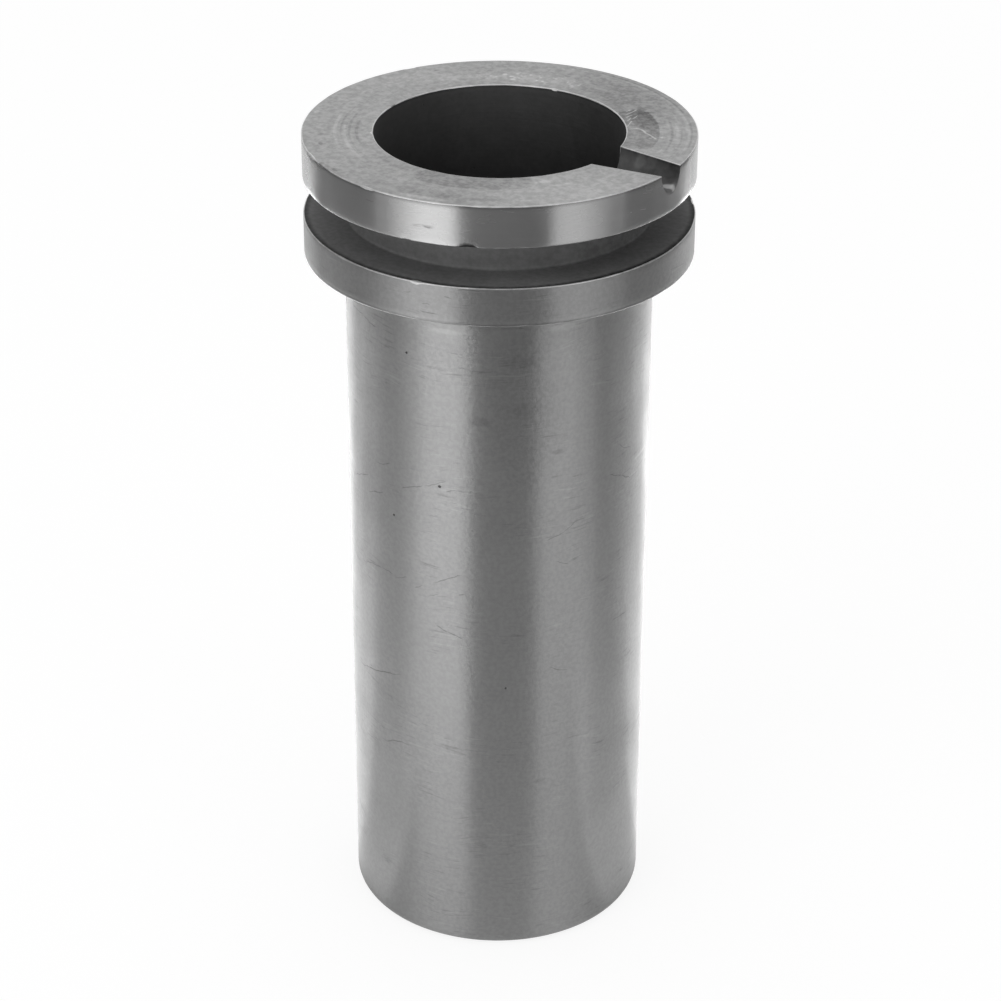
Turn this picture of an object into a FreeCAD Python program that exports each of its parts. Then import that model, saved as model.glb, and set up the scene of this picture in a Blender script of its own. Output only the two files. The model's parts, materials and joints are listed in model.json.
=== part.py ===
import FreeCAD, Part
import os
import Sketcher
from FreeCAD import Placement, Rotation, Vector

# Foundry crucible, turned from one bar of graphite.
# A long round cup with a flanged head. The head is a rim ring and a collar of the same
# diameter, with a square groove between them that the lifting tongs close in. A pour
# notch runs through the rim from the cavity to the outside, deep and wide at the cavity
# and narrowing to a small lip.
#
# Millimetres. +Z runs up the axis of turning, the origin is the centre of the base,
# and +X points along the pour notch.

doc = FreeCAD.newDocument("crucible")
sizes = doc.addObject("Spreadsheet::Sheet", "sizes")
driving_sizes = {
    "total_height": 130.0,
    "head_diameter": 58.0,
    "rim_thickness": 6.3,
    "tong_gap": 6.1,
    "collar_thickness": 5.9,
    "neck_diameter": 45.0,
    "body_diameter": 46.0,
    "bore_diameter": 37.0,
    "floor_thickness": 10.0,
    "floor_radius": 8.0,
    "base_radius": 2.0,
    "tool_radius": 0.4,
    "edge_break": 0.2,
    "notch_mouth_width": 8.0,
    "notch_lip_width": 5.1,
    "notch_side_depth": 0.3,
    "cutter_overrun": 2.0,
}
for row, (alias, millimetres) in enumerate(driving_sizes.items(), start=1):
    sizes.set(f"A{row}", alias.replace("_", " "))
    sizes.set(f"B{row}", str(millimetres))
    sizes.setAlias(f"B{row}", alias)
doc.recompute()

# Radii and levels, as formulas of the sheet that the sketches are bound to.
HEAD_RADIUS = "sizes.head_diameter / 2"
NECK_RADIUS = "sizes.neck_diameter / 2"
BODY_RADIUS = "sizes.body_diameter / 2"
BORE_RADIUS = "sizes.bore_diameter / 2"
RIM_TOP = "sizes.total_height"
RIM_UNDERSIDE = f"({RIM_TOP} - sizes.rim_thickness)"
COLLAR_TOP = f"({RIM_UNDERSIDE} - sizes.tong_gap)"
COLLAR_UNDERSIDE = f"({COLLAR_TOP} - sizes.collar_thickness)"
CLEAR_OF_HEAD = f"{HEAD_RADIUS} + sizes.cutter_overrun"
CLEAR_OF_RIM = f"{RIM_TOP} + sizes.cutter_overrun"
FLOOR = "sizes.floor_thickness"
AXIS = "0"
BASE = "0"

# How a sketch numbers its own axes, its origin and the points of a line or an arc.
LEVEL_AXIS, UPRIGHT_AXIS = range(-1, -3, -1)
START, END, CENTRE = range(1, 4)
SKETCH_ORIGIN = (LEVEL_AXIS, START)

body = doc.addObject("PartDesign::Body", "crucible")
body.Label = "crucible"


def measure(formula):
    """The number that a formula of the sheet gives now."""
    result = sizes.evalExpression(formula)
    return float(getattr(result, "Value", result))


def new_sketch(name, plane_role):
    """A sketch on one of the body's own origin planes."""
    sketch = body.newObject("Sketcher::SketchObject", name)
    planes = [item for item in body.Origin.OriginFeatures if item.Role == plane_role]
    sketch.AttachmentSupport = (planes[0], [""])
    sketch.MapMode = "FlatFace"
    return sketch


def dimension(sketch, label, kind, geometry, formula):
    """A named constraint of the sketch whose size follows a formula of the sheet."""
    index = sketch.addConstraint(Sketcher.Constraint(kind, *geometry, measure(formula)))
    sketch.renameConstraint(index, label)
    sketch.setExpression(f"Constraints.{label}", formula)


def stepped_outline(sketch, corners):
    """A closed outline of upright and level lines.

    Each corner is a pair of formulas, for its distance from the axis and its height.
    Each distance and height is dimensioned once, and zero lies on an axis of the sketch.
    """
    points = [Vector(measure(across), measure(up), 0) for across, up in corners]
    following = points[1:] + points[:1]
    lines = [sketch.addGeometry(Part.LineSegment(*ends)) for ends in zip(points, following)]
    for place, line in enumerate(lines):
        next_line = lines[(place + 1) % len(lines)]
        next_corner = corners[(place + 1) % len(corners)]
        sketch.addConstraint(Sketcher.Constraint("Coincident", line, END, next_line, START))
        direction = "Vertical" if corners[place][0] == next_corner[0] else "Horizontal"
        sketch.addConstraint(Sketcher.Constraint(direction, line))
    for kind, column, zero_axis, label in (
        ("DistanceX", 0, UPRIGHT_AXIS, "across"),
        ("DistanceY", 1, LEVEL_AXIS, "up"),
    ):
        placed = []
        for place, corner in enumerate(corners):
            formula = corner[column]
            if formula in placed:
                continue
            placed.append(formula)
            if formula == "0":
                on_axis = ("PointOnObject", lines[place], START, zero_axis)
                sketch.addConstraint(Sketcher.Constraint(*on_axis))
            else:
                ends = (*SKETCH_ORIGIN, lines[place], START)
                dimension(sketch, f"{label}_{place}", kind, ends, formula)


def turn(feature_type, name, sketch):
    """A feature that turns a section once round the crucible's axis."""
    feature = body.newObject(feature_type, name)
    feature.Profile = sketch
    feature.ReferenceAxis = (sketch, ["V_Axis"])
    feature.Angle = 360.0
    doc.recompute()
    return feature


def round_edges(base, places):
    """The names of the full circles of a feature at the given (radius, height) formulas."""
    wanted = [(measure(radius), measure(height)) for radius, height in places]
    names = []
    for number, edge in enumerate(base.Shape.Edges, start=1):
        if not isinstance(edge.Curve, Part.Circle):
            continue
        circle = (edge.Curve.Radius, edge.Curve.Center.z)
        if any(abs(circle[0] - r) + abs(circle[1] - z) < Part.Precision.confusion() for r, z in wanted):
            names.append(f"Edge{number}")
    if len(names) != len(places):
        raise RuntimeError(f"{base.Name} has {len(names)} of the {len(places)} edges looked for")
    return names


def dress(feature_type, name, base, places, size_property, size_formula):
    """A fillet or chamfer on full circles of the feature before it."""
    feature = body.newObject(feature_type, name)
    feature.Base = (base, round_edges(base, places))
    feature.setExpression(size_property, size_formula)
    doc.recompute()
    return feature


def notch_section(name, reach):
    """The pour notch's section, a round trough with upright sides, across the notch.

    reach is the formula of the section's distance from the crucible's axis. The notch's
    width is stated at the cavity's wall and at the outside, and changes evenly between.
    """
    sketch = new_sketch(name, "YZ_Plane")
    sketch.setExpression("AttachmentOffset.Base.z", reach)
    wall = f"({HEAD_RADIUS} - {BORE_RADIUS})"
    taper = "(sizes.notch_mouth_width - sizes.notch_lip_width)"
    width = f"(sizes.notch_lip_width + {taper} * ({HEAD_RADIUS} - ({reach})) / {wall})"
    trough_centre = f"({RIM_TOP} - sizes.notch_side_depth)"
    radius = measure(width) / 2
    centre = Vector(0, measure(trough_centre), 0)
    left = Vector(-radius, centre.y, 0)
    right = Vector(radius, centre.y, 0)
    above = Vector(0, measure(CLEAR_OF_RIM) - centre.y, 0)
    trough = sketch.addGeometry(Part.Arc(left, centre - Vector(0, radius, 0), right))
    right_side = sketch.addGeometry(Part.LineSegment(right, right + above))
    lid = sketch.addGeometry(Part.LineSegment(right + above, left + above))
    left_side = sketch.addGeometry(Part.LineSegment(left + above, left))
    for constraint in (
        ("PointOnObject", trough, CENTRE, UPRIGHT_AXIS),
        ("Tangent", trough, END, right_side, START),
        ("Tangent", left_side, END, trough, START),
        ("Coincident", right_side, END, lid, START),
        ("Coincident", lid, END, left_side, START),
        ("Vertical", right_side),
        ("Vertical", left_side),
        ("Horizontal", lid),
    ):
        sketch.addConstraint(Sketcher.Constraint(*constraint))
    dimension(sketch, "trough_radius", "Radius", (trough,), f"{width} / 2")
    dimension(sketch, "trough_level", "DistanceY", (*SKETCH_ORIGIN, trough, CENTRE), trough_centre)
    dimension(sketch, "lid_level", "DistanceY", (*SKETCH_ORIGIN, lid, START), CLEAR_OF_RIM)
    return sketch


# The bar turned to the outside shape: a plain body under the head.
outside = new_sketch("outside_section", "XZ_Plane")
stepped_outline(outside, [
    (AXIS, BASE),
    (BODY_RADIUS, BASE),
    (BODY_RADIUS, COLLAR_UNDERSIDE),
    (HEAD_RADIUS, COLLAR_UNDERSIDE),
    (HEAD_RADIUS, RIM_TOP),
    (AXIS, RIM_TOP),
])
turned_bar = turn("PartDesign::Revolution", "turned_bar", outside)

# The tong groove, cut square into the head, which leaves the rim above and the collar below.
groove = new_sketch("groove_section", "XZ_Plane")
stepped_outline(groove, [
    (NECK_RADIUS, COLLAR_TOP),
    (CLEAR_OF_HEAD, COLLAR_TOP),
    (CLEAR_OF_HEAD, RIM_UNDERSIDE),
    (NECK_RADIUS, RIM_UNDERSIDE),
])
tong_groove = turn("PartDesign::Groove", "tong_groove", groove)

# The cavity, bored from the top down to the floor, with a rounded corner at the floor.
bored = new_sketch("cavity_section", "XZ_Plane")
stepped_outline(bored, [
    (AXIS, FLOOR),
    (BORE_RADIUS, FLOOR),
    (BORE_RADIUS, CLEAR_OF_RIM),
    (AXIS, CLEAR_OF_RIM),
])
cavity = turn("PartDesign::Groove", "cavity", bored)
floor_corner = dress(
    "PartDesign::Fillet", "floor_corner", cavity,
    [(BORE_RADIUS, FLOOR)],
    "Radius", "sizes.floor_radius",
)

# The rounded foot, and the grooving tool's own radius left in the corners of the groove.
foot = dress(
    "PartDesign::Fillet", "foot", floor_corner,
    [(BODY_RADIUS, BASE)],
    "Radius", "sizes.base_radius",
)
tool_corners = dress(
    "PartDesign::Fillet", "tool_corners", foot,
    [(NECK_RADIUS, COLLAR_TOP), (NECK_RADIUS, RIM_UNDERSIDE)],
    "Radius", "sizes.tool_radius",
)

# The sharp corners of the head and the cavity's mouth, broken with a small chamfer.
broken_edges = dress(
    "PartDesign::Chamfer", "broken_edges", tool_corners,
    [
        (BORE_RADIUS, RIM_TOP),
        (HEAD_RADIUS, RIM_TOP),
        (HEAD_RADIUS, RIM_UNDERSIDE),
        (HEAD_RADIUS, COLLAR_TOP),
        (HEAD_RADIUS, COLLAR_UNDERSIDE),
    ],
    "Size", "sizes.edge_break",
)

# The pour notch, cut through the rim between a section inside the cavity and one outside.
mouth = notch_section("notch_mouth_section", f"{BORE_RADIUS} - sizes.cutter_overrun")
lip = notch_section("notch_lip_section", CLEAR_OF_HEAD)
doc.recompute()
pour_notch = body.newObject("PartDesign::SubtractiveLoft", "pour_notch")
pour_notch.Profile = mouth
pour_notch.Sections = [lip]
pour_notch.Ruled = True
body.Tip = pour_notch
doc.recompute()

# Every feature is sound, each cut takes material away, and the crucible is one solid.
for item in doc.Objects:
    faults = {"Invalid", "Error"} & set(item.State)
    if faults:
        raise RuntimeError(f"{item.Name} is {', '.join(sorted(faults))}")
for sketch in (outside, groove, bored, mouth, lip):
    if not sketch.FullyConstrained:
        raise RuntimeError(f"{sketch.Name} isn't fully constrained")
for before, after in ((turned_bar, tong_groove), (tong_groove, cavity), (broken_edges, pour_notch)):
    if after.Shape.Volume >= before.Shape.Volume:
        raise RuntimeError(f"{after.Name} cuts nothing")
if body.Shape.isNull() or not body.Shape.isValid() or len(body.Shape.Solids) != 1:
    raise RuntimeError("the crucible isn't one valid solid")

os.makedirs("parts", exist_ok=True)
body.Placement = Placement(Vector(0, 0, 0), Rotation())
body.Shape.exportStep(f"parts/{body.Label}.step")
cubic_centimetres = body.Shape.Volume / 1000
print(f"{body.Label}: {cubic_centimetres:.2f} cm3, {len(body.Shape.Faces)} faces")
print(f"box: {body.Shape.BoundBox}")
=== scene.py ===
import json
import math
from collections import namedtuple

import bmesh
import bpy
from bpy.props import FloatProperty, FloatVectorProperty, IntProperty, PointerProperty
from mathutils import Euler, Matrix, Vector, noise


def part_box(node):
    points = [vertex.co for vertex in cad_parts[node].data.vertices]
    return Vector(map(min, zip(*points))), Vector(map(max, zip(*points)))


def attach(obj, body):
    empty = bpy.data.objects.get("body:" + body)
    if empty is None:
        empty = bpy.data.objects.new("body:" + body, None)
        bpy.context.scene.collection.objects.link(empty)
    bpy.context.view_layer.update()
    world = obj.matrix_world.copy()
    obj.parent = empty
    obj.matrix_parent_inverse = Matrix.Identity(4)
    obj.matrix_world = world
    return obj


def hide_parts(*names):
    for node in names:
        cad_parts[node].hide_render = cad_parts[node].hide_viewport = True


# Foundry crucible, turned from one bar of graphite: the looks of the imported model.
# Lengths are metres unless a name says mm. +Z runs up the axis of turning, the origin is
# the centre of the base and +X points along the pour notch.

bl_info = {
    "name": "Foundry Crucible",
    "version": (1, 0, 0),
    "blender": (4, 5, 0),
    "location": "View3D > Sidebar > Crucible",
    "description": "Builds a turned graphite crucible with its finishes, and a plain studio",
    "category": "Object",
}

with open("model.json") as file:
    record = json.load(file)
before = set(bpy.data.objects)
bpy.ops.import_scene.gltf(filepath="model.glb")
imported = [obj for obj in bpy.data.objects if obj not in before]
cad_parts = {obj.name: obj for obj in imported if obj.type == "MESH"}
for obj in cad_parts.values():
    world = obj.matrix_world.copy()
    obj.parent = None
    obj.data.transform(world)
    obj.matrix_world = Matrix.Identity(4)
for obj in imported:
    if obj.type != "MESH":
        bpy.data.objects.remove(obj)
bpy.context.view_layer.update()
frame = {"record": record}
crucible_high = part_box("crucible")[1]
mounts = {mount["name"]: mount for mount in frame["record"]["mounts"]}
seat_mm = mounts["furnace_seat"]["dims"]["r_mm"]
cavity_mm = mounts["cavity"]["dims"]["r_mm"]
collar_level = mounts["collar_seat"]["pos_m"][2]

MM = 0.001


def size(name, default, description):
    """A length that a user can change, shown in the scene's own unit."""
    return FloatProperty(
        name=name, description=description, default=default,
        min=0.0, precision=4, subtype="DISTANCE", unit="LENGTH",
    )


def tone(name, default, description):
    """A neutral grey that a user can change, as a colour."""
    return FloatVectorProperty(
        name=name, description=description, default=(default,) * 3,
        min=0.0, max=1.0, size=3, subtype="COLOR",
    )


def strength(name, default, description, unit="NONE"):
    """The strength of a lamp or a card that a user can change."""
    return FloatProperty(name=name, description=description, default=default, min=0.0, unit=unit)


class CrucibleSizes(bpy.types.PropertyGroup):
    total_height: size("Total height", crucible_high.z, "From the base to the rim's top face")
    head_radius: size("Head radius", crucible_high.x, "Outside of the rim and the collar")
    body_radius: size("Body radius", seat_mm * MM, "Outside of the body")
    bore_radius: size("Bore radius", cavity_mm * MM, "Inside of the cavity")
    neck_radius: size("Neck radius", 22.5 * MM, "Bottom of the tong groove")
    rim_thickness: size("Rim thickness", 6.3 * MM, "Height of the rim's side")
    tong_gap: size("Tong gap", 6.1 * MM, "Height of the tong groove")
    collar_underside: size("Collar underside", collar_level, "Level of the collar's lower face")
    floor_thickness: size("Floor thickness", 10 * MM, "From the base to the cavity's floor")
    floor_radius: size("Floor radius", 8 * MM, "Rounding of the cavity's floor")
    base_radius: size("Base radius", 2 * MM, "Rounding of the foot")
    tool_radius: size("Tool radius", 0.4 * MM, "Rounding of the tong groove's corners")
    edge_break: size("Edge break", 0.15 * MM, "Mean width of the broken corners")
    notch_edge_break: size("Notch edge break", 0.12 * MM, "Width of the notch's broken corners")
    notch_mouth_width: size("Notch mouth width", 8 * MM, "Pour notch at the cavity")
    notch_lip_width: size("Notch lip width", 5.1 * MM, "Pour notch at the outside")
    lip_wear: size("Lip wear", 0.45 * MM, "How far the notch's lip is worn at its bottom")
    notch_side_depth: size("Notch side depth", 0.3 * MM, "Upright part of the notch's sides")
    columns: IntProperty(
        name="Columns", description="Upright rows of faces beside the notch", default=540, min=64,
    )


class CrucibleTones(bpy.types.PropertyGroup):
    turned: tone("Turned side", 0.30, "Satin graphite of the rim, the collar and the body")
    faced: tone("Faced top", 0.36, "The rim's flat top face")
    # The groove's tone is darker partly as painted shade in the recess under the rim; the collar's
    # underside uses it too.
    grooved: tone("Tong groove", 0.17, "Matte graphite left by the grooving tool")
    # The cavity's near-black tone is dull graphite darkened partly as painted shade inside the
    # cavity.
    bored: tone("Cavity", 0.036, "Dull graphite inside the cavity")
    milled: tone("Pour notch", 0.07, "Mottled graphite of the pour notch")
    # The broken corners' tone is lighter than the turned graphite: rubbed graphite, and partly a
    # painted highlight along the edges.
    broken: tone("Broken corners", 0.46, "Bright corners where the edges are broken")
    floor: tone("Studio floor", 0.75, "Pale floor that the crucible stands on")


class StudioLight(bpy.types.PropertyGroup):
    key_power: strength("Key lamp", 1.2, "Power of the tall lamp on the left", "POWER")
    fill_power: strength("Fill lamp", 0.3, "Power of the tall lamp on the right", "POWER")
    ambient: strength("Ambient light", 0.60, "The even light from all round")
    grey_glow: strength("Front card", 0.03, "The grey card standing in front")
    left_glow: strength("Left near card", 4.5, "The white card lying close on the left")
    left_far_glow: strength("Left far card", 3.5, "The white card lying farther on the left")
    right_glow: strength("Right card", 2.0, "The white card lying on the right")
    side_glow: strength("Side cards", 2.1, "The white cards lying beside the crucible")
    near_glow: strength("Near cards behind", 3.7, "The white cards lying close behind it")
    far_glow: strength("Far cards behind", 6.6, "The white cards lying farther behind it")
    back_glow: strength("Back cards", 5.3, "The low white cards that stand behind it")


# The broken corners, in order up the section, and the places where a corner was knocked.
CORNERS = ("collar underside", "collar top", "rim underside", "rim top", "cavity mouth")
Knock = namedtuple("Knock", "corner degrees half_length_mm extra_width_mm")
KNOCKS = (
    Knock("rim underside", -65.5, 1.3, 0.34), Knock("rim underside", -84.0, 0.7, 0.16),
    Knock("collar top", -81.2, 0.8, 0.30), Knock("collar top", 38.0, 1.1, 0.22),
    Knock("cavity mouth", -142.9, 0.9, 0.30), Knock("cavity mouth", 96.0, 0.7, 0.20),
    Knock("rim top", -126.0, 1.6, 0.24), Knock("rim top", -119.0, 0.9, 0.20),
    Knock("rim top", -97.0, 1.2, 0.18), Knock("rim top", 151.0, 1.0, 0.22),
    Knock("collar underside", -50.0, 1.4, 0.08), Knock("collar underside", 120.0, 1.2, 0.24),
)
Column = namedtuple("Column", "share place outside_angle bore_angle")


def wrapped(angle):
    """An angle brought to between half a turn back and half a turn on."""
    return (angle + math.pi) % math.tau - math.pi


def polar(radius, angle, height):
    """The point at a radius, angle and height."""
    return Vector((radius * math.cos(angle), radius * math.sin(angle), height))


def spaced(start, end, steps):
    """Even steps from a start to an end, with both of them."""
    return [start + (end - start) * step / steps for step in range(steps + 1)]


def quarter_turn(steps):
    """Sine and cosine over a quarter turn."""
    return [(math.sin(turn), math.cos(turn)) for turn in spaced(0, math.pi / 2, steps)]


class CrucibleForm:
    """Works out the crucible's surface, column by column round the axis of turning."""

    corner_steps, tool_steps, curve_steps, trough_steps = 3, 4, 8, 14
    face_steps, base_steps, collar_steps, rim_steps = 4, 5, 6, 8
    bore_steps, head_rings, body_steps = 10, 12, 26
    uneven_share, uneven_cells, corner_seed = 0.35, 9.0, 10.0
    knock_share, knock_uneven = 0.8, 0.4
    fine_share = 0.9
    beside_share = 0.003
    worn_share = 0.45
    even_depth = 10 * MM
    centre_share = 0.01

    def __init__(self, sizes):
        self.sizes = sizes
        self.rim_underside = sizes.total_height - sizes.rim_thickness
        self.collar_top = self.rim_underside - sizes.tong_gap
        self.last_place = len(self.notch_section(sizes.notch_lip_width / 2)) - 1

    def broken_width(self, corner, angle):
        """How far a corner is broken back at an angle: uneven, and wider where it was knocked."""
        seed = CORNERS.index(corner) * self.corner_seed
        cells = self.uneven_cells
        spot = Vector((math.cos(angle) * cells, math.sin(angle) * cells, seed))
        width = self.sizes.edge_break * (1 + self.uneven_share * noise.noise(spot))
        for knock in KNOCKS:
            if knock.corner == corner:
                away = wrapped(angle - math.radians(knock.degrees)) * self.sizes.head_radius
                depth = 1 - (away / (knock.half_length_mm * MM)) ** 2
                if depth > 0:
                    ragged = self.knock_share + self.knock_uneven * noise.noise(spot * cells)
                    width += knock.extra_width_mm * MM * math.sqrt(depth) * ragged
        return width

    def end_break(self, corner, column, angle):
        """The broken width at the rim's top corners: fine at the notch, worn on its lip."""
        fine = self.sizes.notch_edge_break * self.fine_share
        if column.place is None:
            beside_notch = min(column.share, 1 - column.share) < self.beside_share
            return fine if beside_notch else self.broken_width(corner, angle)
        middle = self.last_place / 2
        from_middle = (column.place - middle) / (middle * self.worn_share)
        if corner != "rim top" or abs(from_middle) > 1:
            return fine
        return fine + self.sizes.lip_wear * (1 - from_middle ** 2)

    def notch_half_width(self, radius):
        """Half the pour notch's width at a radius: it narrows evenly to the lip."""
        sizes = self.sizes
        outward = (radius - sizes.bore_radius) / (sizes.head_radius - sizes.bore_radius)
        mouth, lip = sizes.notch_mouth_width / 2, sizes.notch_lip_width / 2
        return mouth + (lip - mouth) * outward

    def notch_section(self, half_width):
        """The notch's section from one side to the other.

        Each point has its place across, its depth, and the way into the graphite in both.
        """
        corner, side = self.sizes.notch_edge_break, self.sizes.notch_side_depth
        half = [
            (half_width + corner * (1 - across), corner * (1 - down), across, down)
            for across, down in quarter_turn(self.corner_steps)[1:]
        ] + [
            (half_width * across, side + half_width * down, across, down)
            for across, down in quarter_turn(self.trough_steps)[::-1]
        ]
        near_side = [
            (-across, depth, -sideways, down) for across, depth, sideways, down in half[:-1]
        ]
        return near_side + half[::-1]

    def notch_edge_angle(self, radius):
        """Where the notch's broken edge starts at a radius, from the notch's middle."""
        return math.asin((self.notch_half_width(radius) + self.sizes.notch_edge_break) / radius)

    def columns(self):
        """All columns, once round from one side of the notch to the other and across it."""
        outside = self.notch_edge_angle(self.sizes.head_radius)
        bore = self.notch_edge_angle(self.sizes.bore_radius)
        result = []
        for share in spaced(0, 1, self.sizes.columns):
            angles = [edge + share * (math.tau - 2 * edge) for edge in (outside, bore)]
            result.append(Column(share, None, *angles))
        for place, across in enumerate(spaced(-1, 1, self.last_place + 2)[1:-1]):
            result.append(Column(None, place, across * outside, across * bore))
        return result

    def head_point(self, column, radius, sunk=0.0):
        """A point of the rim's top or of the notch at a radius, sunk into the graphite."""
        if column.place is None:
            edge = self.notch_edge_angle(radius)
            angle = edge + column.share * (math.tau - 2 * edge)
            return polar(radius, angle, self.sizes.total_height - sunk)
        section = self.notch_section(self.notch_half_width(radius))
        across, depth, sideways, down = section[column.place]
        across += sideways * sunk
        depth += down * sunk
        along = math.sqrt(radius ** 2 - across ** 2)
        return Vector((along, across, self.sizes.total_height - depth))

    def upright(self, radius, low_angle, low, high_point, steps):
        """Points up a round wall, from an even low ring to a point on the head."""
        turn = wrapped(math.atan2(high_point.y, high_point.x) - low_angle)
        return [
            polar(radius, low_angle + turn * share, low + (high_point.z - low) * share)
            for share in spaced(0, 1, steps)
        ]

    def rail(self, column):
        """One column's stretches, from the base's centre over the rim to the cavity's floor.

        Each stretch has its finish and its points, and starts where the last one ends.
        """
        sizes = self.sizes
        angle = column.outside_angle
        head, body, neck = sizes.head_radius, sizes.body_radius, sizes.neck_radius
        mouth, foot, tool = sizes.bore_radius, sizes.base_radius, sizes.tool_radius
        underside, collar_top = sizes.collar_underside, self.collar_top
        rim_underside = self.rim_underside
        corners = ("collar underside", "collar top", "rim underside")
        under_collar, on_collar, under_rim = (self.broken_width(c, angle) for c in corners)
        on_rim = self.end_break("rim top", column, angle)
        at_mouth = self.end_break("cavity mouth", column, column.bore_angle)

        def line(start, end, steps):
            """Even steps between two pairs of radius and height."""
            radii, heights = (spaced(*ends, steps) for ends in zip(start, end))
            return [polar(radius, angle, height) for radius, height in zip(radii, heights)]

        def face(start, end):
            """A flat face or the neck, between two pairs of radius and height."""
            return line(start, end, self.face_steps)

        def arc(centre, radius, start, end, steps):
            """Part of a circle in the section, between two directions in degrees."""
            points = []
            for turn in map(math.radians, spaced(start, end, steps)):
                across, up = radius * math.cos(turn), radius * math.sin(turn)
                points.append(polar(centre[0] + across, angle, centre[1] + up))
            return points

        def side_corner(level, width, start):
            """A broken corner of the head's side, under it from -90 degrees or over it from 0."""
            centre = (head - width, level - width if start == 0 else level + width)
            return arc(centre, width, start, start + 90, self.corner_steps)

        def top_corner(edge, width, outward):
            """A broken corner of the top face, from the face down."""
            return [
                self.head_point(column, edge - outward * width * (1 - sine), width * (1 - cosine))
                for sine, cosine in quarter_turn(self.corner_steps)
            ]

        low_collar, high_collar = underside + under_collar, collar_top - on_collar
        turn_in = neck + tool
        low, high = collar_top + tool, rim_underside - tool
        stretches = [
            ("base", line((body * self.centre_share, 0), (body - foot, 0), self.base_steps)),
            ("body", arc((body - foot, foot), foot, -90, 0, self.curve_steps)),
            ("body", line((body, foot), (body, underside), self.body_steps)),
            ("underside", face((body, underside), (head - under_collar, underside))),
            ("broken", side_corner(underside, under_collar, -90)),
            ("collar", line((head, low_collar), (head, high_collar), self.collar_steps)),
            ("broken", side_corner(collar_top, on_collar, 0)),
            ("groove", face((head - on_collar, collar_top), (turn_in, collar_top))),
            ("groove", arc((turn_in, low), tool, 270, 180, self.tool_steps)),
            ("groove", face((neck, low), (neck, high))),
            ("groove", arc((turn_in, high), tool, 180, 90, self.tool_steps)),
            ("groove", face((turn_in, rim_underside), (head - under_rim, rim_underside))),
            ("broken", side_corner(rim_underside, under_rim, -90)),
        ]
        outer_corner = top_corner(head, on_rim, 1)[::-1]
        inner_corner = top_corner(mouth, at_mouth, -1)
        radii = spaced(head - on_rim, mouth + at_mouth, self.head_rings)
        low_rim = rim_underside + under_rim
        stretches += [
            ("rim", self.upright(head, angle, low_rim, outer_corner[0], self.rim_steps)),
            ("rim edge", outer_corner),
            ("faced", [self.head_point(column, radius) for radius in radii]),
            ("broken", inner_corner),
        ]
        even_level = sizes.total_height - self.even_depth
        angle = column.bore_angle
        wall_foot = sizes.floor_thickness + sizes.floor_radius
        floor_edge = mouth - sizes.floor_radius
        floor_ends = [(r, sizes.floor_thickness) for r in (floor_edge, mouth * self.centre_share)]
        top_bore = self.upright(mouth, angle, even_level, inner_corner[-1], self.bore_steps)
        return stretches + [
            ("bore", top_bore[::-1]),
            ("bore", line((mouth, even_level), (mouth, wall_foot), self.bore_steps)),
            ("bore", arc((floor_edge, wall_foot), sizes.floor_radius, 0, -90, self.curve_steps)),
            ("bore", face(*floor_ends)),
        ]

    def finish(self, stretch_finish, column, next_column):
        """The finish between two columns: the notch has its own where it cuts the top face."""
        places = [c.place for c in (column, next_column) if c.place is not None]
        if stretch_finish not in ("faced", "rim edge"):
            return stretch_finish
        if not places:
            return "faced" if stretch_finish == "faced" else "broken"
        from_side = min(min(place, self.last_place - place) for place in places)
        at_edge = len(places) == 1 or from_side < self.corner_steps - 1
        return "broken" if at_edge else "milled"


def mesh_data(name, mesh):
    """A made mesh as Blender's own data."""
    data = bpy.data.meshes.new(name)
    mesh.to_mesh(data)
    mesh.free()
    return data


def add_piece(scene, name, data):
    """An object in the scene, with its mesh, lamp or camera."""
    piece = bpy.data.objects.new(name, data)
    scene.collection.objects.link(piece)
    return piece


def crucible_mesh(sizes, finishes):
    """The crucible's closed surface, with each face in its finish."""
    form = CrucibleForm(sizes)
    columns = form.columns()
    mesh = bmesh.new()
    rows = []
    for column in columns:
        points, strip_finishes = [], []
        for finish, stretch in form.rail(column):
            strip_finishes += [finish] * (len(stretch) - 1)
            points += stretch[1:] if points else stretch
        rows.append([mesh.verts.new(point) for point in points])
    base_centre = mesh.verts.new((0, 0, 0))
    floor_centre = mesh.verts.new((0, 0, sizes.floor_thickness))

    def face(corners, finish):
        made = mesh.faces.new(corners)
        made.smooth = True
        made.material_index = finishes.index(finish)

    following = zip(rows[1:] + rows[:1], columns[1:] + columns[:1])
    for row, column, (next_row, next_column) in zip(rows, columns, following):
        face((base_centre, next_row[0], row[0]), "base")
        face((floor_centre, row[-1], next_row[-1]), "bore")
        for strip, strip_finish in enumerate(strip_finishes):
            corners = (row[strip], next_row[strip], next_row[strip + 1], row[strip + 1])
            face(corners, form.finish(strip_finish, column, next_column))
    return mesh_data("crucible_turned", mesh)


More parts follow.
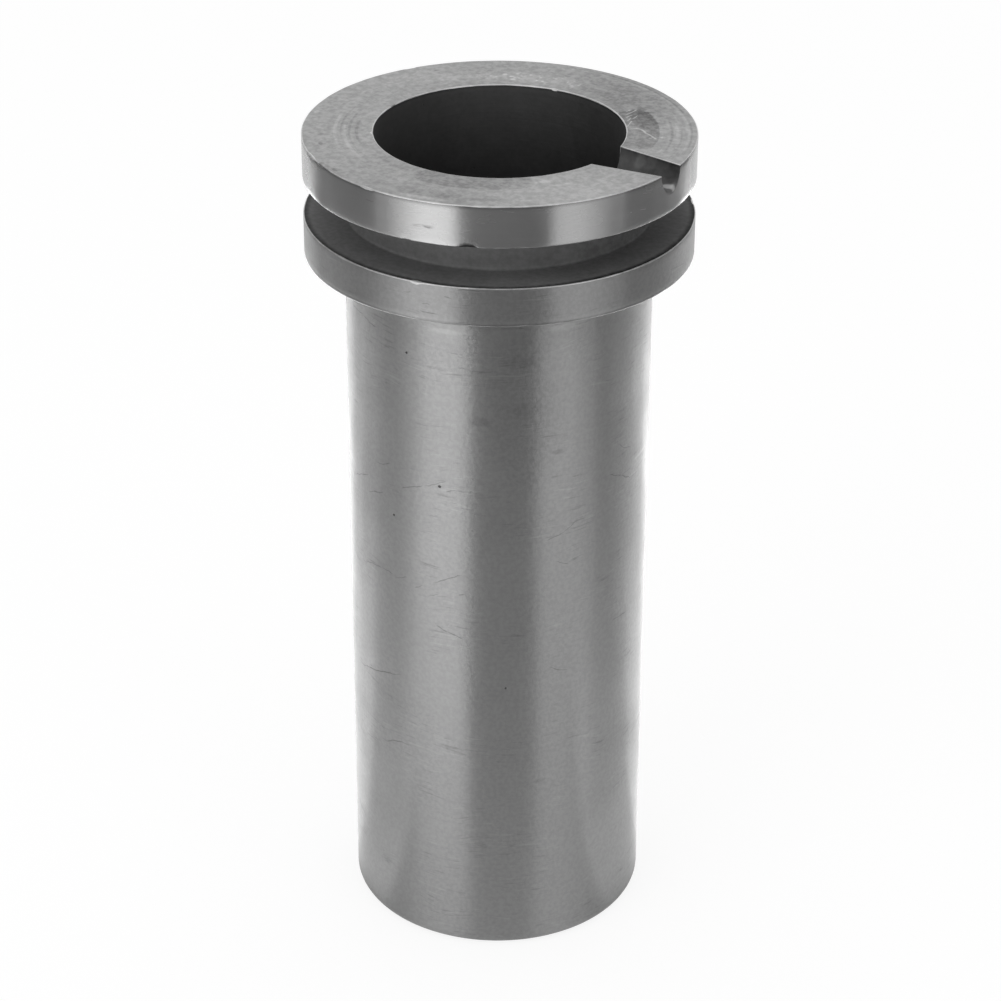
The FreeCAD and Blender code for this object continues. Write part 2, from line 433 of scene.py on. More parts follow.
class Nodes:
    """A node tree as it is put together."""

    def __init__(self, tree):
        self.tree = tree

    def add(self, kind, inputs=(), **settings):
        """Adds a node. Its inputs are given by name or in order, as values or as sockets."""
        node = self.tree.nodes.new("ShaderNode" + kind)
        for setting, value in settings.items():
            setattr(node, setting, value)
        for key, value in inputs.items() if isinstance(inputs, dict) else enumerate(inputs):
            if isinstance(value, bpy.types.NodeSocket):
                self.tree.links.new(value, node.inputs[key])
            else:
                node.inputs[key].default_value = value
        return node

    def maths(self, operation, *values):
        """A sum of plain numbers."""
        return self.add("Math", values, operation=operation).outputs[0]

    def vectors(self, operation, *values):
        """A sum of vectors, which gives a number for a length or a dot product."""
        node = self.add("VectorMath", values, operation=operation)
        return node.outputs["Value" if operation in ("LENGTH", "DOT_PRODUCT") else "Vector"]

    def scaled(self, vector, factor):
        """A vector times a number."""
        inputs = {"Vector": vector, "Scale": factor}
        return self.add("VectorMath", inputs, operation="SCALE").outputs["Vector"]

    def fade(self, value, start, end, low=0.0, high=1.0):
        """A smooth change from low to high while the value goes from start to end."""
        inputs = (value, start, end, low, high)
        return self.add("MapRange", inputs, interpolation_type="SMOOTHSTEP").outputs[0]

    def noise(self, vector, scale, detail, **inputs):
        """The outputs of a noise texture."""
        inputs = {"Vector": vector, "Scale": scale, "Detail": detail, **inputs}
        return self.add("TexNoise", inputs).outputs


class Group(Nodes):
    """A node group, made from its inputs' names and defaults."""

    def __init__(self, name, inputs):
        super().__init__(bpy.data.node_groups.new(name, "ShaderNodeTree"))
        for label, default in inputs.items():
            self.socket(label, "INPUT", isinstance(default, tuple)).default_value = default
        self.given = self.tree.nodes.new("NodeGroupInput").outputs

    def socket(self, label, way, holds_vector):
        """A named input or output, for a vector or a number."""
        kind = "NodeSocketVector" if holds_vector else "NodeSocketFloat"
        return self.tree.interface.new_socket(name=label, in_out=way, socket_type=kind)

    def giving(self, outputs):
        """The finished group, with the given outputs."""
        for label, value in outputs.items():
            self.socket(label, "OUTPUT", value.type == "VECTOR")
        results = self.tree.nodes.new("NodeGroupOutput").inputs
        for label, value in outputs.items():
            self.tree.links.new(value, results[label])
        return self.tree


# The walls are unrolled at their own radii, and the top face as if all of it lay at one.
BODY_MM, HEAD_MM, RING_MM = 23.0, 29.0, 22.0
# The sockets of a Mix node for colours, which share their names with its other kinds.
MIX_SHARE, MIX_FIRST, MIX_SECOND, MIX_RESULT = 0, 6, 7, 2


def lathe_coordinates():
    """Where a point is as the lathe sees it, in millimetres.

    Unrolled is the way round a wall and the height, Ring the way round the top face and the
    radius, and Flat is the place seen from above.
    """
    group = Group("Lathe coordinates", {})
    position = group.scaled(group.add("TexCoord").outputs["Object"], 1 / MM)
    flat = group.vectors("MULTIPLY", position, (1, 1, 0))
    radius = group.vectors("LENGTH", flat)
    xyz = group.add("SeparateXYZ", [position]).outputs
    angle = group.maths("ARCTAN2", xyz["Y"], xyz["X"])
    round_wall = group.maths("MULTIPLY", angle, radius)
    round_top = group.maths("MULTIPLY", angle, RING_MM)
    return group.giving({
        "Position": position,
        "Direction": group.vectors("NORMALIZE", flat),
        "Radius": radius,
        "Height": xyz["Z"],
        "Unrolled": group.add("CombineXYZ", [round_wall, xyz["Z"]]).outputs[0],
        "Ring": group.add("CombineXYZ", [round_top, radius]).outputs[0],
        "Flat": flat,
    })


def turned_streaks():
    """Streaks that a tool or a cloth left: fine across the feed, long round the axis."""
    group = Group("Turned streaks", {
        "Feed": 0.0, "Direction": (1, 0, 0), "Radius": 25.0,
        "Pitch": 0.2, "Run": 30.0, "Seed": 0.0,
    })
    given = group.given
    pitches = group.maths("DIVIDE", given["Feed"], given["Pitch"])
    cells = group.maths("DIVIDE", given["Radius"], given["Run"])
    around = group.add("SeparateXYZ", [group.scaled(given["Direction"], cells)]).outputs
    feed = group.maths("ADD", pitches, given["Seed"])
    spot = group.add("CombineXYZ", [around["X"], around["Y"], feed]).outputs[0]
    return group.giving({"Streak": group.noise(spot, 1.0, 2.0, Roughness=0.6)["Fac"]})


def cloudy_tone():
    """Soft uneven patches, from 0 to 1, as of handling and of the graphite's own grain."""
    group = Group("Cloudy tone", {"Position": (0, 0, 0), "Cloud size": 10.0, "Detail": 4.0})
    given = group.given
    cells = group.scaled(given["Position"], group.maths("DIVIDE", 1.0, given["Cloud size"]))
    cloud = group.noise(cells, 1.0, given["Detail"], Roughness=0.55)["Fac"]
    return group.giving({"Tone": group.fade(cloud, 0.3, 0.7)})


def small_pits():
    """Scattered small pits of the graphite, 1 in a pit and 0 between."""
    group = Group("Small pits", {
        "Position": (0, 0, 0), "Spacing": 4.0, "Pit radius": 0.2, "Share": 0.3,
    })
    given = group.given
    cells = group.scaled(given["Position"], group.maths("DIVIDE", 1.0, given["Spacing"]))
    voronoi = group.add("TexVoronoi", {"Vector": cells, "Scale": 1.0}).outputs
    away = group.maths("MULTIPLY", voronoi["Distance"], given["Spacing"])
    chance = group.add("SeparateColor", [voronoi["Color"]]).outputs
    uneven = group.fade(chance["Green"], 0.0, 1.0, 0.4, 1.3)
    reach = group.maths("MULTIPLY", given["Pit radius"], uneven)
    pit = group.fade(away, reach, group.maths("MULTIPLY", reach, 0.4))
    chosen = group.maths("LESS_THAN", chance["Red"], given["Share"])
    return group.giving({"Pit": group.maths("MULTIPLY", pit, chosen)})


def single_scratch():
    """One scratch between two points, 1 on its line and fading to its ends."""
    group = Group("Single scratch", {
        "Point": (0, 0, 0), "From": (0, 0, 0), "To": (1, 0, 0), "Half width": 0.1,
    })
    given = group.given
    from_start = group.vectors("SUBTRACT", given["Point"], given["From"])
    run = group.vectors("SUBTRACT", given["To"], given["From"])
    along = group.vectors("DOT_PRODUCT", from_start, run)
    share = group.maths("DIVIDE", along, group.vectors("DOT_PRODUCT", run, run))
    inside = group.add("Clamp", [share, 0.0, 1.0]).outputs[0]
    aside = group.vectors("SUBTRACT", from_start, group.scaled(run, inside))
    core = group.maths("MULTIPLY", given["Half width"], 0.3)
    line = group.fade(group.vectors("LENGTH", aside), given["Half width"], core)
    ends = group.fade(share, -0.02, 0.25), group.fade(share, 1.02, 0.8)
    taper = group.maths("MULTIPLY", *ends)
    return group.giving({"Scratch": group.maths("MULTIPLY", line, taper)})


def ragged_patch():
    """A stain with a ragged edge, 1 inside it and 0 outside, from round to nearly square."""
    group = Group("Ragged patch", {
        "Point": (0, 0, 0), "Centre": (0, 0, 0), "Reach": (1, 1, 1),
        "Grain": 0.0, "Ragged": 0.5, "Soft": 0.3, "Square": 0.0,
    })
    given = group.given
    local = group.vectors("SUBTRACT", given["Point"], given["Centre"])
    local = group.vectors("DIVIDE", local, given["Reach"])
    away = group.vectors("LENGTH", local)
    squarely = group.vectors("LENGTH", group.vectors("MULTIPLY", local, local))
    more = group.maths("SUBTRACT", squarely, away)
    away = group.maths("MULTIPLY_ADD", more, given["Square"], away)
    edge = group.maths("MULTIPLY_ADD", given["Grain"], given["Ragged"], away)
    near = group.maths("SUBTRACT", 1.0, given["Soft"])
    far = group.maths("ADD", 1.0, given["Soft"])
    return group.giving({"Patch": group.fade(edge, far, near)})


def empty_material(name):
    """A new material and its empty node tree."""
    material = bpy.data.materials.new(name)
    material.use_nodes = True
    material.node_tree.nodes.clear()
    return material, material.node_tree


class Finish(Nodes):
    """A graphite material as it is put together: its node tree, coordinates and shader."""

    def __init__(self, name, groups, radius_mm, metallic, anisotropic, bump_mm):
        self.material, tree = empty_material(name)
        super().__init__(tree)
        self.groups = groups
        self.radius_mm = radius_mm
        self.edge_grain = None
        self.lathe = self.add("Group", node_tree=groups["lathe"]).outputs
        self.bump = self.add("Bump", {"Strength": 1.0, "Distance": bump_mm * MM})
        self.shader = self.add("BsdfPrincipled", {
            "Metallic": metallic, "Anisotropic": anisotropic, "Anisotropic Rotation": 0.25,
            "Normal": self.bump.outputs[0],
        })
        if anisotropic:
            tangent = self.add("Tangent", direction_type="RADIAL", axis="Z")
            tree.links.new(tangent.outputs[0], self.shader.inputs["Tangent"])
        self.add("OutputMaterial", [self.shader.outputs[0]], is_active_output=True)

    def from_group(self, group, inputs):
        """The output of one of the groups."""
        return self.add("Group", inputs, node_tree=self.groups[group]).outputs[0]

    def around(self, degrees):
        """Degrees round as the distance round in mm."""
        return math.radians(degrees) * self.radius_mm

    def placed(self, marks):
        """Marks whose first value, in degrees round, is made the distance round."""
        return [(self.around(degrees), *others) for degrees, *others in marks]

    def streaks(self, feed, pitch, run, seed=0.0):
        """Streaks round the axis, for a feed along the height, the radius or a slanted way."""
        return self.from_group("streaks", {
            "Feed": feed, "Direction": self.lathe["Direction"], "Radius": self.lathe["Radius"],
            "Pitch": pitch, "Run": run, "Seed": seed,
        })

    def clouds(self, cloud_size, detail=4.0):
        """Soft patches of the given size."""
        place = self.lathe["Position"]
        inputs = {"Position": place, "Cloud size": cloud_size, "Detail": detail}
        return self.from_group("clouds", inputs)

    def pits(self, spacing, radius, share):
        """Scattered pits."""
        place = self.lathe["Position"]
        inputs = {"Position": place, "Spacing": spacing, "Pit radius": radius, "Share": share}
        return self.from_group("pits", inputs)

    def wavering(self, point, waver, grain):
        """The given points shifted a little this way and that, so that lines drawn there waver."""
        wander = self.noise(point, grain, 2.0)["Color"]
        shift = self.vectors("SUBTRACT", wander, (0.5, 0.5, 0.5))
        return self.vectors("ADD", point, self.vectors("MULTIPLY", shift, (waver, waver, 0)))

    def scratches(self, point, lines):
        """All the given scratches, each with its two ends and half its width."""
        return self.most([
            self.from_group("scratch", {
                "Point": point, "From": (x, y, 0.0), "To": (end_x, end_y, 0.0), "Half width": half,
            })
            for x, y, end_x, end_y, half in lines
        ])

    def patch(self, point, centre, reach, ragged, soft=0.5, square=0.0):
        """A patch in the plane of the given points, its edge ragged by the graphite's grain."""
        if self.edge_grain is None:
            grain = self.noise(self.lathe["Position"], 1.1, 3.0)["Fac"]
            self.edge_grain = self.maths("SUBTRACT", grain, 0.5)
        return self.from_group("patch", {
            "Point": point, "Centre": (*centre, 0.0), "Reach": (*reach, 1.0),
            "Grain": self.edge_grain, "Ragged": ragged, "Soft": soft, "Square": square,
        })

    def stains_and_painted_light(self, point, marks, ragged, soft):
        """Patches of stain and of painted light, with weights, from each one's centre, reach and
        weight.
        """
        return [
            (self.patch(point, (x, y), (along, across), ragged, soft), weight)
            for x, y, along, across, weight in marks
        ]

    def edges(self, rows):
        """Masks that fade away from an edge, along the height or the radius, and their weights."""
        return [
            (self.fade(self.lathe[feed], edge + reach, edge), weight)
            for feed, edge, reach, weight in rows
        ]

    def most(self, values):
        """The highest of several masks."""
        highest = values[0]
        for value in values[1:]:
            highest = self.maths("MAXIMUM", highest, value)
        return highest

    def both(self, first, second):
        """Where two masks meet."""
        return self.maths("MULTIPLY", first, second)

    def weighed(self, base, parts):
        """A number built up from a base and from masks times their weights."""
        total = base
        for mask, weight in parts:
            total = self.maths("MULTIPLY_ADD", mask, weight, total)
        return total

    def finish(self, colour, tone, roughness, relief):
        """Joins the shader's inputs, each a base and the masks with their weights."""
        grey = self.add("CombineColor", [self.weighed(*tone)] * 3).outputs[0]
        inputs = {MIX_SHARE: 1.0, MIX_FIRST: (*colour, 1.0), MIX_SECOND: grey}
        mixed = self.add("Mix", inputs, data_type="RGBA", blend_type="MULTIPLY")
        self.tree.links.new(mixed.outputs[MIX_RESULT], self.shader.inputs["Base Color"])
        self.tree.links.new(self.weighed(*roughness), self.shader.inputs["Roughness"])
        self.tree.links.new(self.weighed(*relief), self.bump.inputs["Height"])
        return self.material


# Marks on the turned walls, at degrees round from the notch and heights in mm. A scratch has
# its two ends and half its width in mm, a pit its radius, a patch its reach in mm each way and
# its weight in the tone, and an edge, painted light and shade beside a corner, its way and
# place, how far it shows and its weight.
BODY_SCRATCHES = (
    (-97, 79.8, -86, 81.7, 0.10), (-86, 81.7, -76.4, 83.3, 0.09),
    (-76.8, 81.5, -73.4, 82.1, 0.09), (-110, 82.2, -101, 83.5, 0.09),
    (-129, 76.8, -115, 79.5, 0.09), (-116, 76.4, -105, 78.0, 0.10),
    (-119, 63.8, -107.6, 64.8, 0.10), (-107.6, 64.8, -101.5, 64.5, 0.09),
    (-100.4, 64.2, -93.8, 65.1, 0.09), (-82.5, 65.6, -70.6, 67.7, 0.10),
    (-91, 63.7, -86.3, 64.6, 0.08), (-84.3, 63.2, -80.4, 63.7, 0.08),
    (-72.5, 64.2, -69.3, 64.4, 0.08), (-81.8, 58.3, -76.5, 57.4, 0.11),
    (-77, 57.6, -70.5, 56.6, 0.10), (-128, 43.5, -96, 47.5, 0.10),
    (-108, 33.5, -97, 35.2, 0.09), (-39.6, 73.3, -31.5, 74.5, 0.09),
    (-32, 74.4, -26.7, 75.6, 0.09), (-36, 69.5, -29.7, 68.7, 0.08), (-8, 55.8, 2, 55.4, 0.09),
    (-38, 51.3, -29.5, 49.9, 0.09), (-11.4, 81.7, -4, 80.1, 0.10),
    (-4.5, 80.2, 2.5, 78.6, 0.10), (-6.6, 85.7, 2.8, 83.7, 0.09),
    (-128, 105.4, -117, 105.4, 0.11), (-118, 105.4, -109, 104.8, 0.10),
    (35, 88.0, 61, 84.0, 0.10), (95, 62.0, 118, 66.0, 0.10), (150, 40.0, 176, 43.5, 0.09),
)
BODY_PITS = (
    (-93, 102.8, 0.20), (-79.5, 82.2, 0.20), (-100.2, 75.0, 0.20), (-54.3, 48.3, 0.19),
    (74, 93.0, 0.20), (141, 71.0, 0.22),
)
BODY_PATCHES = (
    (-122, 100.0, 5.0, 13.0, 0.14), (-48, 97.0, 5.5, 12.0, -0.15), (-72, 108.0, 9.0, 1.8, 0.10),
    (-77, 107.6, 3.0, 0.35, 0.17), (-60, 108.7, 3.6, 0.35, -0.14),
    (-49.5, 103.3, 2.8, 0.9, -0.09), (-64.3, 93.6, 1.6, 0.7, -0.15),
    (-47.8, 95.5, 2.8, 1.1, -0.07), (-35.2, 88.0, 0.9, 0.4, -0.20),
    (-33.4, 108.0, 2.8, 0.5, 0.14), (11.5, 81.2, 2.4, 0.25, 0.25),
)
COLLAR_SCRATCHES = (
    (-80, 113.2, -74.8, 113.0, 0.09), (-73, 115.8, -70.4, 115.8, 0.08),
    (-69.6, 117.2, -62.5, 117.1, 0.09), (-79.6, 114.3, -76.6, 114.4, 0.08),
    (-85.4, 115.7, -82.6, 115.9, 0.08),
)
RIM_SCRATCHES = (
    (-63.8, 125.6, -63.3, 124.4, 0.12), (-65.1, 125.0, -65.0, 124.2, 0.09),
    (-82.2, 126.15, -79.3, 126.45, 0.16), (-79.7, 126.45, -76.3, 126.15, 0.20),
    (-98.0, 128.2, -94.5, 128.1, 0.09),
)
RIM_PATCHES = (
    (-77.2, 126.25, 0.70, 0.24, -0.26), (-80.5, 126.10, 0.60, 0.14, -0.16),
    (-66.4, 123.9, 1.15, 0.42, -0.75),
)
# Painted light on the collar's side over its lower corner: a lighter band 1.3 mm high, and a dark
# line of painted shade in its lowest 0.45 mm.
COLLAR_PAINTED_EDGE_LIGHT = (("Height", 111.85, 1.3, 0.12), ("Height", 111.85, 0.45, -0.36))
# Painted shade on the rim's side: a dark line in its top 0.5 mm, under the top corner.
RIM_PAINTED_EDGE_SHADE = (("Height", 129.85, -0.5, -0.34),)
Wall = namedtuple("Wall", "radius_mm shade roughness grain_run marks scratches pits patches edges")
WALLS = {
    "body": Wall(BODY_MM, 0.90, 0.38, 1.0, 1.0, BODY_SCRATCHES, BODY_PITS, BODY_PATCHES, ()),
    "collar": Wall(HEAD_MM, 0.78, 0.40, 1.0, 0.9, COLLAR_SCRATCHES, (), (), COLLAR_PAINTED_EDGE_LIGHT),
    "rim": Wall(HEAD_MM, 0.95, 0.20, 0.8, 0.18, RIM_SCRATCHES, (), RIM_PATCHES, RIM_PAINTED_EDGE_SHADE),
}


def turned_finish(name, groups, colour, wall):
    """A satin turned wall: faint tool lines, rubs, clouds, grain, pits and scratches."""
    made = Finish(
        name, groups, wall.radius_mm, metallic=0.5, anisotropic=wall.grain_run, bump_mm=0.02,
    )
    marks = wall.marks
    height = made.lathe["Height"]
    fine = made.streaks(height, 0.16, 60.0)
    coarse = made.streaks(height, 1.3, 90.0, seed=7.0)
    clouds = made.clouds(13.0)
    grain = made.clouds(0.6, 2.0)
    slanted = made.weighed(height, [(made.clouds(14.0, 1.0), 1.4)])
    clusters = made.fade(made.clouds(9.0, 2.0), 0.35, 0.9)
    rubs = made.both(made.fade(made.streaks(slanted, 0.32, 4.0, seed=19.0), 0.57, 0.72), clusters)
    wiped = made.both(made.fade(made.streaks(slanted, 0.36, 5.0, seed=41.0), 0.43, 0.28), clusters)
    on_wall = made.lathe["Unrolled"]
    pitted = made.most([made.pits(7.0, 0.13, 0.10)] + [
        made.patch(on_wall, place, (radius, radius), 0.3, 0.35)
        for *place, radius in made.placed(wall.pits)
    ])
    scratched = made.scratches(made.wavering(on_wall, 0.9, 0.5), [
        (*start, made.around(degrees), up, half_width)
        for *start, degrees, up, half_width in made.placed(wall.scratches)
    ])
    tone_parts = [
        (fine, 0.06 * marks), (coarse, 0.06), (clouds, 0.09), (grain, 0.12 * marks),
        (rubs, -0.17 * marks), (wiped, 0.15 * marks), (pitted, -0.75), (scratched, -0.26),
        *made.stains_and_painted_light(on_wall, made.placed(wall.patches), 0.8, 0.45), *made.edges(wall.edges),
    ]
    rough_parts = [
        (coarse, 0.05), (clouds, 0.06), (rubs, 0.08 * marks), (scratched, 0.15 * marks),
        (pitted, 0.3 * marks),
    ]
    relief_parts = [(fine, 0.3 * marks), (grain, 0.4 * marks), (pitted, -3.0)]
    return made.finish(
        colour, (wall.shade, tone_parts), (wall.roughness, rough_parts), (0.0, relief_parts),
    )


# Marks on the top face, at degrees round from the notch and radii in mm. A patch has its
# reach in mm round and across, its weight in the tone and how ragged it is, and then, where it
# differs, how soft and how square. A speck has its reach and weight. A scratch has its two
# ends as seen from above, in mm, and half its width.
TOP_PATCHES = (
    (33.5, 20.6, 8.2, 2.75, -0.30, 0.40, 0.05, 1.0),
    (44.5, 21.6, 3.9, 1.9, -0.17, 1.6, 0.30, 0.6), (31.0, 22.6, 3.0, 0.6, -0.09, 1.6, 0.40),
    (36.0, 19.6, 2.2, 0.8, 0.10, 1.8, 0.50, 0.3),
    (-68.0, 20.4, 9.2, 2.45, -0.22, 0.22, 0.05, 0.9), (-80.5, 27.8, 2.4, 0.45, 0.32, 2.0),
    (-40.0, 20.7, 2.2, 0.40, 0.24, 2.0), (-34.5, 22.6, 1.3, 0.25, 0.26, 1.5),
    (-103.0, 19.8, 6.5, 1.3, -0.10, 0.60, 0.40), (-72.0, 26.1, 10.0, 0.7, -0.10, 1.2),
    (28.0, 25.2, 4.3, 0.22, -0.26, 1.2), (31.0, 26.0, 2.4, 0.30, 0.26, 2.0),
    (20.0, 26.6, 5.0, 0.16, -0.14, 1.0), (58.0, 28.05, 16.0, 0.15, -0.20, 0.5, 0.45, 1.0),
    (52.0, 27.6, 14.0, 0.18, 0.16, 0.5, 0.45, 1.0), (-145.0, 20.9, 4.6, 0.24, -0.24, 1.2),
    (-135.0, 22.7, 5.2, 0.27, 0.24, 1.2), (-152.0, 22.0, 6.5, 0.20, -0.20, 1.2),
    (-150.0, 24.1, 6.0, 0.24, 0.22, 1.2), (-158.0, 23.2, 5.0, 0.18, -0.18, 1.2),
    (137.0, 22.2, 4.5, 1.2, 0.10, 1.8), (81.0, 22.6, 1.6, 0.5, 0.14, 2.0),
    (-47.0, 21.0, 3.2, 1.0, 0.10, 2.0), (66.0, 23.5, 9.5, 5.5, -0.30, 0.9, 0.70),
    (156.0, 25.3, 8.0, 3.5, 0.10, 0.9, 0.70), (128.0, 25.8, 7.0, 1.4, -0.06, 0.9, 0.70),
    (-36.0, 25.5, 8.5, 5.0, 0.20, 0.9, 0.70), (-78.0, 27.0, 6.0, 1.2, -0.10, 1.2, 0.70),
)
TOP_SPECKS = (
    (-134.9, 26.5, 0.40, 0.30, -0.34), (-113.5, 28.2, 0.55, 0.30, -0.40),
    (-117.0, 28.3, 0.50, 0.28, -0.34), (-119.5, 28.5, 0.35, 0.25, -0.30),
    (144.3, 26.3, 0.40, 0.35, -0.34), (-143.3, 26.2, 0.35, 0.50, -0.18),
    (-161.6, 28.0, 0.45, 0.35, 0.30), (101.7, 27.0, 0.25, 0.25, 0.32),
    (98.7, 27.6, 0.25, 0.25, 0.32), (25.4, 23.7, 0.20, 0.22, 0.40),
    (24.0, 22.1, 0.30, 0.25, 0.35),
)
TOP_SCRATCHES = (
    (11.8, 16.0, 12.0, 17.4, 0.12), (12.5, 15.0, 12.8, 18.1, 0.16),
    (13.0, 14.0, 13.3, 15.8, 0.13), (13.9, 13.0, 13.7, 14.6, 0.13),
    (14.1, 13.8, 14.1, 16.0, 0.11), (14.8, 12.0, 14.4, 13.6, 0.12),
    (15.0, 10.9, 14.9, 12.3, 0.10), (15.6, 10.3, 16.5, 11.2, 0.10),
    (16.2, 11.2, 17.8, 11.3, 0.22), (17.2, 11.5, 19.0, 10.1, 0.24),
    (18.5, 10.5, 20.4, 9.6, 0.23), (19.8, 9.9, 21.1, 9.1, 0.22),
)


def faced_finish(groups, colour):
    """The faced top: fine rings, grain, a stained patch, a brighter patch with flakes and a few
    scratches.
    """
    made = Finish("faced_top", groups, RING_MM, metallic=0.6, anisotropic=0.35, bump_mm=0.02)
    radius = made.lathe["Radius"]
    fine = made.streaks(radius, 0.17, 50.0, seed=3.0)
    coarse = made.streaks(radius, 0.8, 30.0, seed=11.0)
    short_arcs = made.fade(made.streaks(radius, 0.30, 7.0, seed=23.0), 0.55, 0.75)
    clouds = made.clouds(6.0)
    grain = made.clouds(0.8, 3.0)
    flakes = made.most([made.pits(1.1, 0.46, 0.7), made.pits(0.7, 0.28, 0.6)])
    ring = made.lathe["Ring"]
    bright_patch = made.patch(ring, (made.around(109), 21.9), (7.6, 1.8), 1.6, 0.45)
    bright_flakes = made.both(bright_patch, flakes)
    patches = [
        (made.patch(ring, (x, y), (along, across), *edge), weight)
        for x, y, along, across, weight, *edge in made.placed(TOP_PATCHES)
    ]
    white = made.scratches(made.wavering(made.lathe["Flat"], 0.5, 0.9), TOP_SCRATCHES)
    pitted = made.pits(4.0, 0.17, 0.20)
    tone_parts = [
        (fine, 0.14), (coarse, 0.16), (short_arcs, 0.12), (clouds, 0.14), (grain, 0.42),
        (bright_patch, 0.16), (bright_flakes, 0.60), (white, 0.95), (pitted, -0.38),
        *patches, *made.stains_and_painted_light(ring, made.placed(TOP_SPECKS), 1.0, 0.4),
    ]
    rough_parts = [
        (coarse, 0.08), (clouds, 0.06), (grain, 0.06), (bright_flakes, 0.1), (white, 0.15),
        (pitted, 0.2),
    ]
    relief_parts = [
        (fine, 0.6), (coarse, 0.5), (grain, 0.7), (bright_flakes, 0.8), (pitted, -2.5),
        (white, 0.8),
    ]
    return made.finish(colour, (0.64, tone_parts), (0.38, rough_parts), (0.0, relief_parts))


# The dull cut surfaces. Edges have their way and place in mm, how far they show from it and
# their weight; patches have their place as seen from above, their reach and their weight.
Cut = namedtuple("Cut", "material tone roughness feed mottle edges patches", defaults=((), ()))
CUTS = {
    "groove": Cut(
        # Painted shade: a dark line over the outer 0.9 mm of the groove's flat faces, beside the
        # corners.
        "grooved_neck", "grooved", 0.62, "Height", 0.16, (("Radius", 28.7, -0.9, -0.75),),
        ((26.0, 2.0, 9.0, 17.0, -0.20), (11.0, -19.5, 9.0, 4.0, 0.12)),
    ),
    "bore": Cut(
        "bored_cavity", "bored", 0.60, "Height", 0.20,
        # Painted shade in the cavity: lighter over the 17 mm below the mouth and darker deeper
        # down, with a dark line just under the mouth's corner.
        (("Height", 130.0, -17.0, 0.95), ("Height", 129.85, -0.5, -0.9)),
        ((9.5, 16.0, 8.0, 7.0, -0.40), (-11.0, 14.5, 7.0, 5.0, 0.25)),
    ),
    "milled": Cut(
        "milled_notch", "milled", 0.50, "Radius", 0.55,
        # A painted dark line of shade just under the notch's top corners, and lighter toward the
        # cavity.
        (("Height", 129.85, -0.6, -0.45), ("Radius", 18.5, 7.0, 0.30)),
        (
            # The first two patches, bright at the notch's lip, are a painted reflection in the
            # notch's floor.
            (28.05, 0.70, 1.25, 0.48, 5.2), (28.9, 0.2, 0.9, 1.3, 1.1),
            (21.9, 3.3, 0.9, 0.35, 0.90), (23.6, 3.1, 1.1, 0.30, 0.45),
            (27.4, 2.4, 1.4, 0.45, -0.45),
        ),
    ),
    "underside": Cut("faced_underside", "grooved", 0.55, "Radius", 0.10),
    "base": Cut("faced_base", "turned", 0.50, "Radius", 0.10),
}


def dull_finish(groups, colour, cut):
    """A dull cut surface: faint tool lines, mottled tone, pits, and a change beside its edges."""
    made = Finish(cut.material, groups, HEAD_MM, metallic=0.25, anisotropic=0.0, bump_mm=0.03)
    fine = made.streaks(made.lathe[cut.feed], 0.25, 40.0, seed=5.0)
    clouds = made.clouds(2.6)
    grain = made.clouds(0.8, 2.0)
    pitted = made.pits(2.2, 0.14, 0.2)
    tone_parts = [
        (fine, 0.14), (clouds, cut.mottle), (grain, 0.20), (pitted, -0.25),
        *made.edges(cut.edges), *made.stains_and_painted_light(made.lathe["Flat"], cut.patches, 0.7, 0.4),
    ]
    rough_parts = [(clouds, 0.08), (fine, 0.05)]
    relief_parts = [(fine, 0.8), (clouds, 0.4), (pitted, -1.5)]
    return made.finish(
        colour, (0.80, tone_parts), (cut.roughness, rough_parts), (0.0, relief_parts),
    )


# How much lighter or darker the broken corners are beside a height in mm: painted highlights on
# the corners that face up, at the collar's top, the rim's top and the cavity's mouth, and painted
# shade on those that face down, under the collar and under the rim. Then two chips, each with its
# place, its reach and how ragged it is.
CORNER_PAINTED_LIGHT = (
    ("Height", 117.0, -1.0, 0.50), ("Height", 122.0, -1.0, -0.78),
    ("Height", 129.5, -1.0, 1.03), ("Height", 113.0, 1.0, -0.20),
)
CHIPS = ((-66.4, 123.8, 1.2, 0.5, 0.6), (-116.5, 129.9, 1.7, 0.3, 1.4))


def broken_finish(groups, colour):
    """The broken corners: rubbed brighter, with painted highlights and shade, and darker in the
    chips.
    """
    made = Finish("broken_corners", groups, HEAD_MM, metallic=0.6, anisotropic=0.0, bump_mm=0.02)
    rubbed = made.clouds(1.6)
    pitted = made.pits(1.6, 0.12, 0.25)
    chips = made.most([
        made.patch(made.lathe["Unrolled"], (x, y), reach, ragged, 0.3)
        for x, y, *reach, ragged in made.placed(CHIPS)
    ])
    tone_parts = [(rubbed, 0.35), *made.edges(CORNER_PAINTED_LIGHT), (pitted, -0.3), (chips, -0.8)]
    relief_parts = [(rubbed, 0.6), (pitted, -1.0)]
    return made.finish(colour, (0.60, tone_parts), (0.38, [(rubbed, 0.1)]), (0.0, relief_parts))


def make_finishes(tones):
    """All finishes of the crucible, by the names that its stretches use."""
    groups = {
        "lathe": lathe_coordinates(),
        "streaks": turned_streaks(),
        "clouds": cloudy_tone(),
        "pits": small_pits(),
        "scratch": single_scratch(),
        "patch": ragged_patch(),
    }
    finishes = {
        name: turned_finish(f"turned_{name}", groups, tones.turned, wall)
        for name, wall in WALLS.items()
    }
    finishes["faced"] = faced_finish(groups, tones.faced)
    for name, cut in CUTS.items():
        finishes[name] = dull_finish(groups, getattr(tones, cut.tone), cut)
    finishes["broken"] = broken_finish(groups, tones.broken)
    return finishes


EVEN_SHADING = 80


